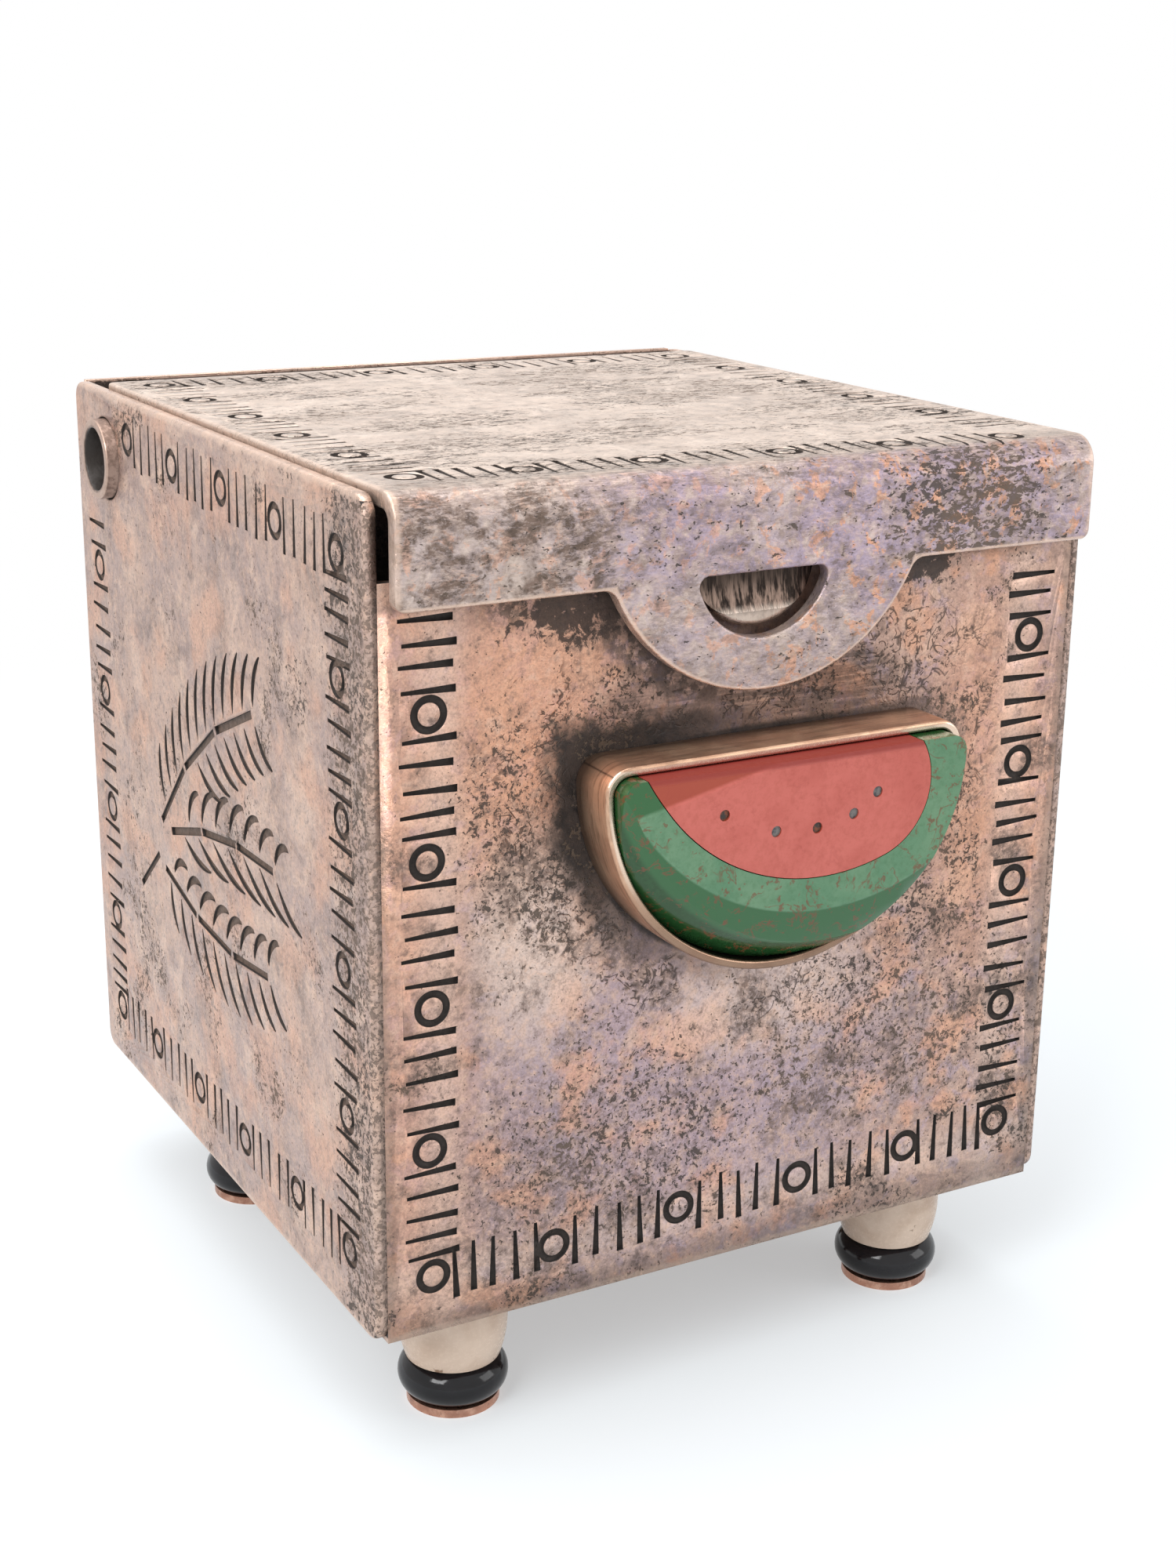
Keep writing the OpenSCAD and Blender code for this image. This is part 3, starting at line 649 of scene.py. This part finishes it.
def softened(node, name, body, material, face, rim, joined=None):
    """A copy of a sheet node with its rims rounded and the struck marks' upper edges eased.

    face tells a point's depth below the struck face, rim is the width of the rounding, and joined
    tells whether a point lies at a soldered joint, where the edges stay sharp."""
    bm = bmesh.new()
    bm.from_mesh(NODES[node].data)
    bmesh.ops.remove_doubles(bm, verts=bm.verts, dist=SAME_POINT * MM)
    bmesh.ops.dissolve_limit(bm, angle_limit=math.radians(FLAT_ANGLE), verts=bm.verts, edges=bm.edges)

    def depth(vert):
        return face(vert.co / MM)

    def struck(polygon):
        depths = [depth(vert) for vert in polygon.verts]
        return min(depths) > -0.01 and 0.05 < max(depths) < STRUCK_DEEP

    rims = []
    lips = []
    for edge in bm.edges:
        if edge.calc_face_angle(0) < math.radians(EDGE_ANGLE) or not edge.is_convex:
            continue
        if any(struck(polygon) for polygon in edge.link_faces):
            if all(abs(depth(v)) < 0.01 for v in edge.verts):
                lips.append(edge)
        elif not joined or not all(joined(v.co / MM) for v in edge.verts):
            rims.append(edge)
    bevel(bm, rims, rim, 3)
    bevel(bm, blunt([edge for edge in lips if edge.is_valid]), MARK_EASE, 1)
    bmesh.ops.triangulate(bm, faces=[p for p in bm.faces if len(p.verts) > 4])
    mesh = bpy.data.meshes.new(name)
    bm.to_mesh(mesh)
    bm.free()
    piece = link(name, mesh)
    mesh.materials.append(material)
    mesh.shade_smooth()
    weighted = piece.modifiers.new("weighted", "WEIGHTED_NORMAL")
    weighted.mode = "FACE_AREA_WITH_ANGLE"
    weighted.weight = NORMAL_WEIGHT
    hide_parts(node)
    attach(piece, body)


def build_sheets(materials):
    """Replaces the walls, the front panel and the lid by softened copies."""
    def sheet(node, name, face, rim, joined):
        softened(node, f"{name}_sheet", "case", materials[name], face, rim, joined)

    def panel_side(p):
        return abs(p.x) > PANEL_X - 0.1

    def wall_inside(p):
        return abs(p.x) < PANEL_X + 0.1

    sheet("front_panel", "front", lambda p: p.y - FRONT_Y, 0.14, panel_side)
    sheet("back_wall", "back", lambda p: BACK_Y - p.y, 0.14, panel_side)
    sheet("left_wall", "left", lambda p: p.x + SIDE_X, 0.25, wall_inside)
    sheet("right_wall", "right", lambda p: SIDE_X - p.x, 0.25, wall_inside)
    softened("lid", "lid_sheet", "lid", materials["lid"], lid_depth, 0.16)


def stone_material(name, tints, vein_level, vein_share):
    """Shader of a polished stone, with its colour, roughness and normal.

    tints are the two colours of its flat face, that of the ground slopes, which is painted shade and
    also mottles the face, that of their low part, deeper painted shade, and that of the veins. Spots
    show where the noise is above vein_level, all veins as far as vein_share."""
    face, second, slope_shade_and_mottle, low, vein = tints
    s = Shader(name)
    cloud = s.noise(0.3, 5, 0.6, 11, 0.5)
    fine = s.noise(3.0, 3, 0.6, 5)
    depth = s.sub(s.y, STONE_Y)
    colour = s.mix(s.ramp(cloud, 0.35, 0.65), face, second)
    # Painted shade on the ground slopes, deeper on their low part.
    colour = s.mix(s.ramp(depth, 0.01, 0.05), colour, slope_shade_and_mottle)
    colour = s.mix(s.ramp(depth, 0.55, 0.9), colour, low)
    colour = s.mix(s.ramp(fine, 0.4, 0.75, 0, 0.3), colour, slope_shade_and_mottle)
    streak = s.noise(0.4, 4, 0.62, 3, 0.6)
    crack = s.mul(s.near(streak, 0.5, 0.022), s.ramp(s.noise(0.5, 3, 0.6, 33), 0.44, 0.54))
    spot = s.ramp(s.noise(1.1, 4, 0.7, 23), vein_level, vein_level + 0.06)
    colour = s.mix(s.mul(s.top(crack, spot), vein_share), colour, vein)
    roughness = s.ramp(fine, 0.3, 0.7, 0.08, 0.18)
    normal = s.bump(s.sub(s.mul(fine, 0.3), spot), 0.12, 0.05)
    return s, colour, roughness, normal


def rind_material():
    """Green stone with many spots and brown veins."""
    tints = (rgb(84, 124, 92), rgb(100, 134, 102), rgb(48, 92, 54), rgb(32, 66, 32), rgb(108, 64, 42))
    s, colour, roughness, normal = stone_material("green_stone", tints, 0.585, 0.75)
    return s.finish(colour, 0.0, roughness, normal, Specular_IOR_Level=0.4)


def flesh_material():
    """Red stone with few veins, with painted shade along its upper edge, where it is also rougher."""
    tints = (rgb(192, 98, 87), rgb(182, 88, 77), rgb(154, 66, 48), rgb(128, 46, 36), rgb(140, 52, 44))
    s, colour, roughness, normal = stone_material("red_stone", tints, 0.78, 0.15)
    # Painted shade along the upper edge, where the stone meets the bezel's rim; rougher there too.
    edge = s.ramp(s.z, INLAY[1] + 0.45, INLAY[1] + 0.75)
    colour = s.mix(s.mul(edge, 0.8), colour, rgb(134, 44, 36))
    roughness = s.add(roughness, s.mul(edge, 0.5))
    return s.finish(colour, 0.0, roughness, normal, Specular_IOR_Level=0.4)


def seed_material(name, first, second):
    """Dull mottled stone of two colours."""
    s = Shader(name)
    fine = s.noise(2.6, 3, 0.6, 5)
    colour = s.mix(s.ramp(fine, 0.42, 0.6), first, second)
    return s.finish(colour, 0.0, s.ramp(fine, 0.3, 0.7, 0.35, 0.6), s.bump(fine, 0.3, 0.05))


def bezel_material():
    """Strip with a bright polished rim that carries a painted highlight, painted shade on the rim low
    down, dirty at its foot and dark round the stone.
    """
    s = Shader("bezel_metal")
    along = s.noise(1.0, 4, 0.65, 9, 0.2, (0.3, 3.5, 0.3))
    cloud = s.noise(0.35, 4, 0.6, 3, 0.4)
    grain = s.noise(7, 2, 0.6, 5)
    height = s.sub(FRONT_Y, s.y)
    colour = s.mix(s.ramp(cloud, 0.38, 0.62), rgb(204, 162, 134), rgb(222, 184, 154))
    colour = s.mix(s.ramp(along, 0.47, 0.64, 0, 0.6), colour, rgb(150, 116, 96))
    colour = s.mix(s.ramp(height, 1.9, 0.2, 0, 0.75), colour, rgb(66, 52, 45))
    # Polished rim with a painted highlight, which fades lower down through lit.
    bright = s.mul(s.ramp(height, 3.3, 3.5), s.ramp(bezel_gap(s), -0.12, -0.26))
    lit = s.ramp(s.z, 33, 38, 0, 0.85)
    colour = s.mix(s.mul(bright, lit), colour, rgb(238, 216, 196))
    # Painted shade on the rim low down.
    shaded = s.mul(s.ramp(height, 3.2, 3.5), s.ramp(s.z, 38, 32, 0, 0.75))
    colour = s.mix(shaded, colour, rgb(112, 88, 74))
    round_stone = s.mul(s.ramp(bezel_gap(s), -0.36, -0.48), s.ramp(height, 3.5, 3.4))
    colour = s.mix(round_stone, colour, rgb(40, 32, 28))
    roughness = s.sub(s.ramp(grain, 0.3, 0.7, 0.3, 0.42), s.mul(bright, 0.12))
    normal = s.bump(s.add(s.mul(along, 0.4), s.mul(grain, 0.05)), 0.25, 0.06)
    return s.finish(colour, 0.85, roughness, normal)


def tube_material():
    """Tube with rubbed ends and a bore painted dark as shade."""
    s = Shader("tube_metal")
    mottle = s.noise(1.4, 4, 0.65, 9)
    radius = distance(s, s.sub(s.y, TUBE[0]), s.sub(s.z, TUBE[1]))
    colour = s.mix(s.ramp(mottle, 0.4, 0.6), rgb(150, 126, 114), rgb(112, 92, 82))
    end = s.ramp(s.math("ABSOLUTE", s.x), TUBE_END - 0.15, TUBE_END - 0.05)
    end = s.mul(end, s.ramp(radius, TUBE_BORE_R + 0.1, TUBE_BORE_R + 0.25))
    colour = s.mix(s.mul(end, 0.7), colour, rgb(196, 168, 152))
    # Painted shade inside the bore.
    bore = s.ramp(radius, TUBE_BORE_R + 0.1, TUBE_BORE_R + 0.02)
    colour = s.mix(bore, colour, rgb(44, 36, 31))
    roughness = s.ramp(mottle, 0.3, 0.7, 0.34, 0.5)
    metallic = s.ramp(radius, TUBE_BORE_R + 0.02, TUBE_BORE_R + 0.1, 0.2, 0.8)
    return s.finish(colour, metallic, roughness, s.bump(mottle, 0.4, 0.08))


def catch_material():
    """Filed metal with upright scratches, a painted highlight at the catch's foot and painted shade at
    its top.
    """
    s = Shader("catch_metal")
    scratch = s.noise(3.4, 3, 0.6, 9, 0, (1, 1, 0.08))
    cloud = s.noise(0.8, 3, 0.6, 3)
    colour = s.mix(s.ramp(scratch, 0.4, 0.62), rgb(38, 30, 26), rgb(134, 113, 101))
    # Painted highlight at the catch's foot and painted shade at its top, as light falls into the hollow.
    colour = s.mix(s.ramp(s.z, 50.6, 49.8, 0, 0.8), colour, rgb(222, 204, 190))
    colour = s.mix(s.ramp(s.z, 51.0, 52.4, 0, 0.75), colour, rgb(44, 36, 32))
    colour = s.mix(s.ramp(cloud, 0.5, 0.7, 0, 0.4), colour, rgb(80, 66, 58))
    return s.finish(colour, 0.85, s.ramp(scratch, 0.3, 0.7, 0.24, 0.36), s.bump(scratch, 0.5, 0.08))


def washer_material():
    """Coppery metal of the washers and pins, with a few pits."""
    s = Shader("washer_metal")
    cloud = s.noise(0.4, 4, 0.6, 3)
    mottle = s.noise(1.6, 4, 0.6, 9)
    grain = s.noise(6.0, 3, 0.6, 5)
    colour = s.mix(s.ramp(cloud, 0.35, 0.65), rgb(196, 146, 124), rgb(168, 124, 106))
    colour = s.mix(s.ramp(mottle, 0.45, 0.7, 0, 0.8), colour, rgb(216, 174, 152))
    pit = s.ramp(s.noise(3.2, 4, 0.7, 29), 0.64, 0.69)
    colour = s.mix(s.mul(pit, 0.7), colour, rgb(70, 58, 52))
    roughness = s.add(s.ramp(grain, 0.3, 0.7, 0.26, 0.4), s.mul(pit, 0.25))
    height = s.sub(s.add(s.mul(mottle, 0.3), s.mul(grain, 0.15)), s.mul(pit, 0.4))
    return s.finish(colour, 0.9, roughness, s.bump(height, 0.4, 0.08))


def bead_material(name, ground, second, roughness, spot=None):
    """Polished bead with cloudy bands; spot is the brown that stains it in spots, and that paints shade
    at its top.
    """
    s = Shader(name)
    cloud = s.noise(0.3, 4, 0.55, 3, 0.6)
    bands = s.noise(0.5, 3, 0.5, 15, 0.4, (0.4, 0.4, 2.6))
    fine = s.noise(4.0, 3, 0.6, 8)
    colour = s.mix(s.ramp(cloud, 0.35, 0.65), ground, second)
    colour = s.mix(s.ramp(bands, 0.45, 0.7, 0, 0.4), colour, second)
    if spot:
        colour = s.mix(s.mul(s.ramp(s.noise(0.7, 3, 0.6, 47), 0.68, 0.74), 0.8), colour, spot)
        # Painted shade at the bead's top, under the box's base.
        colour = s.mix(s.mul(s.ramp(s.z, 7.2, 8.3), s.ramp(cloud, 0.35, 0.55, 0.25, 0.8)), colour, spot)
    uneven = s.ramp(fine, 0.3, 0.7, roughness, roughness + 0.1)
    return s.finish(colour, 0.0, uneven, s.bump(fine, 0.08, 0.05), Specular_IOR_Level=0.35)


def assign(node, material):
    """Makes a material the only one of a CAD node."""
    target = NODES[node].data
    target.materials.clear()
    target.materials.append(material)


def ease(node, width, angle, segments=2):
    """Rounds the edges of a CAD node where its faces turn by more than angle degrees."""
    piece = NODES[node]
    weld = piece.modifiers.new("weld", "WELD")
    weld.merge_threshold = SAME_POINT * MM
    rounding = piece.modifiers.new("bevel", "BEVEL")
    rounding.width = width * MM
    rounding.segments = segments
    rounding.limit_method = "ANGLE"
    rounding.angle_limit = math.radians(angle)
    rounding.use_clamp_overlap = True
    rounding.harden_normals = True


def dress_nodes(materials):
    """Gives the CAD nodes that no sheet replaces their materials, and rounds three of them."""
    washer = washer_material()
    # The white beads' cream, taken darker in part as painted shade for the box's shadow over them.
    cream = (rgb(196, 168, 146), rgb(216, 192, 172))
    white = bead_material("white_bead_stone", *cream, 0.2, rgb(112, 78, 50))
    black = bead_material("black_bead_stone", rgb(14, 13, 15), rgb(28, 26, 29), 0.06)
    grey = seed_material("grey_seed", rgb(112, 108, 104), rgb(66, 66, 70))
    dark = seed_material("dark_seed", rgb(44, 34, 28), rgb(120, 62, 34))
    for node in ("base_plate", "hinge_sleeve"):
        assign(node, materials["inside"])
    assign("hinge_tube", tube_material())
    assign("catch", catch_material())
    assign("bezel", bezel_material())
    assign("rind", rind_material())
    assign("flesh", flesh_material())
    for name in NODES:
        if name.startswith("seed_"):
            assign(name, dark if name in ("seed_1", "seed_3") else grey)
        elif name.startswith("white_bead"):
            assign(name, white)
        elif name.startswith("black_bead"):
            assign(name, black)
        elif name.startswith(("foot_pin", "foot_washer")):
            assign(name, washer)
    ease("rind", 0.08, 8)
    ease("bezel", 0.2, 40, 3)
    ease("hinge_tube", 0.12, 40)


def area_light(name, place, side, power):
    """A square lamp turned to LAMP_AIM."""
    data = bpy.data.lights.new(name, "AREA")
    data.shape = "SQUARE"
    data.size = side * MM
    data.energy = power
    lamp = bpy.data.objects.new(name, data)
    bpy.context.collection.objects.link(lamp)
    lamp.location = Vector(place) * MM
    direction = (Vector(LAMP_AIM) - Vector(place)) * MM
    lamp.rotation_euler = direction.to_track_quat("-Z", "Y").to_euler()


def seen(tree):
    """1 for camera, glossy and transmission rays."""
    path = tree.nodes.new("ShaderNodeLightPath")
    first = tree.nodes.new("ShaderNodeMath")
    first.operation = "MAXIMUM"
    second = tree.nodes.new("ShaderNodeMath")
    second.operation = "MAXIMUM"
    tree.links.new(path.outputs["Is Camera Ray"], first.inputs[0])
    tree.links.new(path.outputs["Is Glossy Ray"], first.inputs[1])
    tree.links.new(first.outputs[0], second.inputs[0])
    tree.links.new(path.outputs["Is Transmission Ray"], second.inputs[1])
    return second.outputs[0]


def background():
    """A world that is plain white where it is seen or mirrored, and a softer fill for the rest."""
    world = bpy.data.worlds.new("world")
    bpy.context.scene.world = world
    world.use_nodes = True
    tree = world.node_tree
    fill = tree.nodes["Background"]
    fill.inputs["Color"].default_value = (*FILL_COLOUR, 1)
    fill.inputs["Strength"].default_value = FILL_STRENGTH
    white = tree.nodes.new("ShaderNodeBackground")
    white.inputs["Color"].default_value = (*WHITE, 1)
    white.inputs["Strength"].default_value = 1
    pick = tree.nodes.new("ShaderNodeMixShader")
    tree.links.new(seen(tree), pick.inputs[0])
    tree.links.new(fill.outputs[0], pick.inputs[1])
    tree.links.new(white.outputs[0], pick.inputs[2])
    tree.links.new(pick.outputs[0], tree.nodes["World Output"].inputs[0])


def floor_material():
    """Pale paper that takes the shadow near the object and turns plain white away from it."""
    s = Shader("floor_paper")
    s.finish(PAPER, 0.0, 0.9, Specular_IOR_Level=0.1)
    tree = s.tree
    glow = tree.nodes.new("ShaderNodeEmission")
    glow.inputs["Strength"].default_value = 1
    blend = tree.nodes.new("ShaderNodeMixShader")
    share = s.ramp(s.far((0, 0, 0)), 60, 180, 0.41, 1)
    s.put(blend.inputs[0], s.mul(share, seen(tree)))
    tree.links.new(s.principled.outputs[0], blend.inputs[1])
    tree.links.new(glow.outputs[0], blend.inputs[2])
    tree.links.new(blend.outputs[0], tree.nodes["Material Output"].inputs[0])
    return s.material


def studio():
    """Colour handling, world, floor and lamps."""
    bpy.context.scene.view_settings.view_transform = "Standard"
    background()
    mesh = bpy.data.meshes.new("floor")
    half = FLOOR_HALF * MM
    corners = [(-half, -half, 0), (half, -half, 0), (half, half, 0), (-half, half, 0)]
    mesh.from_pydata(corners, [], [(0, 1, 2, 3)])
    floor = link("floor", mesh)
    mesh.materials.append(floor_material())
    for lamp in LAMPS:
        area_light(*lamp)


place_camera()
sheets = sheet_materials()
build_sheets(sheets)
dress_nodes(sheets)
studio()
